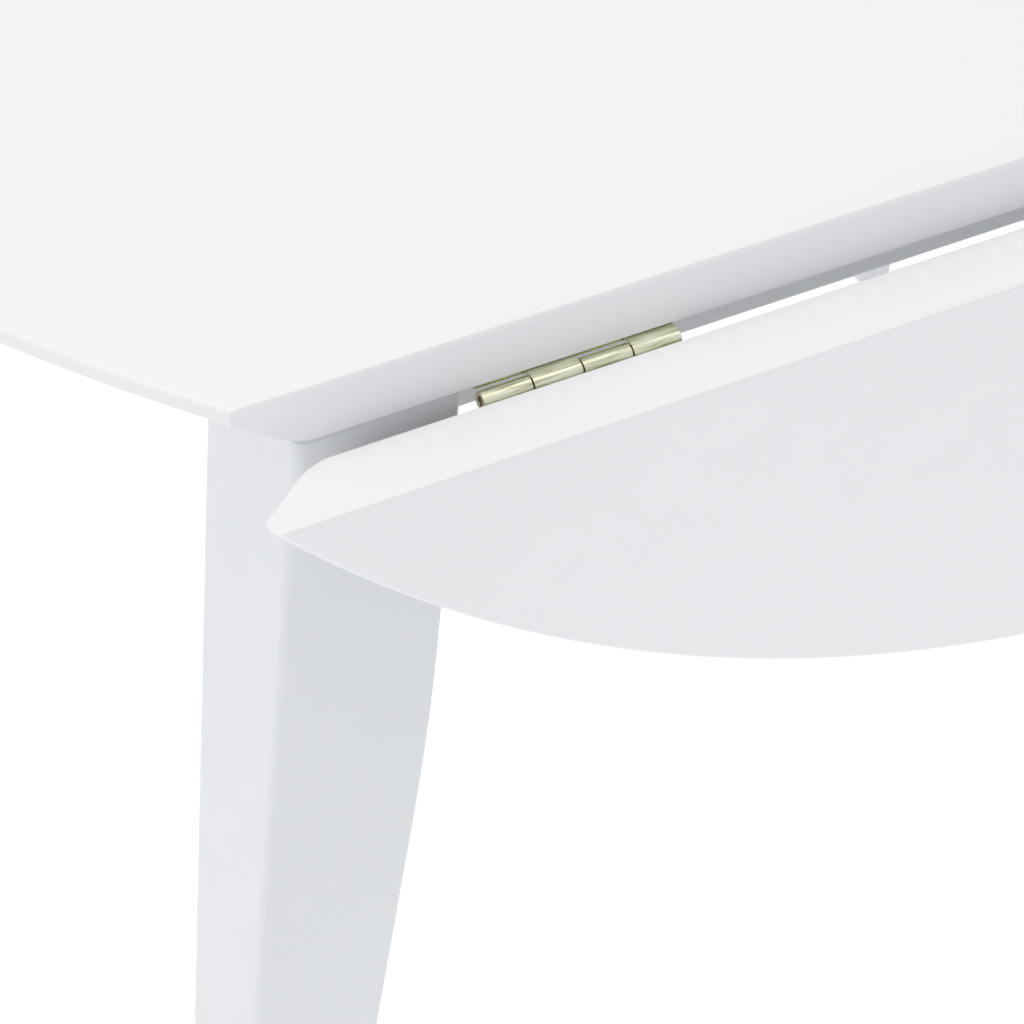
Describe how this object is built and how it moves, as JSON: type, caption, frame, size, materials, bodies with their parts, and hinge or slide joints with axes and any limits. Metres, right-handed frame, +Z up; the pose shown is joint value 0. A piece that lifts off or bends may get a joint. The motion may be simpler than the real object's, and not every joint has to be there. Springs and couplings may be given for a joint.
{
  "type": "drop-leaf table",
  "caption": "Round white table: fixed centre panel on tapered corner legs, hinged leaves that hang down, and folding steel stays that swing out under the raised leaves.",
  "frame": {"origin": "on the floor under the middle of the top, at the centre of the box that holds the table at rest", "axes": "+Z up, +Y along the joints between the centre panel and the leaves, +X towards the right leaf"},
  "size_m": [0.708, 1, 0.75],
  "materials": {
    "white_lacquer": "satin white lacquer on a smooth sealed board",
    "frame_lacquer": "satin white lacquer, slightly duller than the top",
    "zinc_yellow": "steel with yellow-green zinc passivate, drawn streaks along the knuckles",
    "hinge_pin_steel": "brown-toned steel hinge pin",
    "zinc_steel": "bright zinc-plated steel",
    "nylon": "moulded off-white nylon"
  },
  "bodies": {
    "frame": {"top_panel": "white_lacquer", "leg_front_right": "frame_lacquer", "leg_front_left": "frame_lacquer", "leg_rear_right": "frame_lacquer", "leg_rear_left": "frame_lacquer", "side_apron_right": "frame_lacquer", "side_apron_left": "frame_lacquer", "end_apron_front": "frame_lacquer", "end_apron_rear": "frame_lacquer", "cross_rail": "frame_lacquer", "corner_plate_front_right": "zinc_steel", "hanger_bolt_front_right": "zinc_steel", "hex_nut_front_right": "zinc_steel", "foot_glide_front_right": "nylon", "corner_plate_front_left": "zinc_steel", "hanger_bolt_front_left": "zinc_steel", "hex_nut_front_left": "zinc_steel", "foot_glide_front_left": "nylon", "corner_plate_rear_right": "zinc_steel", "hanger_bolt_rear_right": "zinc_steel", "hex_nut_rear_right": "zinc_steel", "foot_glide_rear_right": "nylon", "corner_plate_rear_left": "zinc_steel", "hanger_bolt_rear_left": "zinc_steel", "hex_nut_rear_left": "zinc_steel", "foot_glide_rear_left": "nylon", "hinge_panel_plate_right_front": "zinc_yellow", "hinge_pin_right_front": "hinge_pin_steel", "hinge_panel_plate_right_middle": "zinc_yellow", "hinge_pin_right_middle": "hinge_pin_steel", "hinge_panel_plate_right_rear": "zinc_yellow", "hinge_pin_right_rear": "hinge_pin_steel", "hinge_panel_plate_left_front": "zinc_yellow", "hinge_pin_left_front": "hinge_pin_steel", "hinge_panel_plate_left_middle": "zinc_yellow", "hinge_pin_left_middle": "hinge_pin_steel", "hinge_panel_plate_left_rear": "zinc_yellow", "hinge_pin_left_rear": "hinge_pin_steel", "stay_bracket_right_front": "zinc_steel", "stay_rivet_right_front": "zinc_steel", "stay_bracket_right_rear": "zinc_steel", "stay_rivet_right_rear": "zinc_steel", "stay_bracket_left_front": "zinc_steel", "stay_rivet_left_front": "zinc_steel", "stay_bracket_left_rear": "zinc_steel", "stay_rivet_left_rear": "zinc_steel"},
    "leaf_right": {"leaf_right": "white_lacquer", "hinge_leaf_plate_right_front": "zinc_yellow", "hinge_leaf_plate_right_middle": "zinc_yellow", "hinge_leaf_plate_right_rear": "zinc_yellow"},
    "leaf_left": {"leaf_left": "white_lacquer", "hinge_leaf_plate_left_front": "zinc_yellow", "hinge_leaf_plate_left_middle": "zinc_yellow", "hinge_leaf_plate_left_rear": "zinc_yellow"},
    "stay_right_front_body": {"stay_right_front": "zinc_steel"},
    "stay_right_rear_body": {"stay_right_rear": "zinc_steel"},
    "stay_left_front_body": {"stay_left_front": "zinc_steel"},
    "stay_left_rear_body": {"stay_left_rear": "zinc_steel"}
  },
  "joints": [
    {"name": "leaf_right_hinge", "type": "hinge", "parent": "frame", "child": "leaf_right", "pos_m": [0.3321, 0, 0.7281], "axis": [0, -1, 0], "range_deg": [0, 90]},
    {"name": "leaf_left_hinge", "type": "hinge", "parent": "frame", "child": "leaf_left", "pos_m": [-0.3321, 0, 0.7281], "axis": [0, 1, 0], "range_deg": [0, 90]},
    {"name": "stay_right_front_pivot", "type": "hinge", "parent": "frame", "child": "stay_right_front_body", "pos_m": [0.31, -0.062, 0.6805], "axis": [0, -1, 0], "range_deg": [0, 109.8]},
    {"name": "stay_right_rear_pivot", "type": "hinge", "parent": "frame", "child": "stay_right_rear_body", "pos_m": [0.31, 0.062, 0.6805], "axis": [0, -1, 0], "range_deg": [0, 109.8]},
    {"name": "stay_left_front_pivot", "type": "hinge", "parent": "frame", "child": "stay_left_front_body", "pos_m": [-0.31, -0.062, 0.6805], "axis": [0, 1, 0], "range_deg": [0, 109.8]},
    {"name": "stay_left_rear_pivot", "type": "hinge", "parent": "frame", "child": "stay_left_rear_body", "pos_m": [-0.31, 0.062, 0.6805], "axis": [0, 1, 0], "range_deg": [0, 109.8]}
  ],
  "couplings": [
    {"joint": "stay_right_front_pivot", "follows": "leaf_right_hinge", "ratio": 1.2198},
    {"joint": "stay_right_rear_pivot", "follows": "leaf_right_hinge", "ratio": 1.2198},
    {"joint": "stay_left_front_pivot", "follows": "leaf_left_hinge", "ratio": 1.2198},
    {"joint": "stay_left_rear_pivot", "follows": "leaf_left_hinge", "ratio": 1.2198}
  ]
}
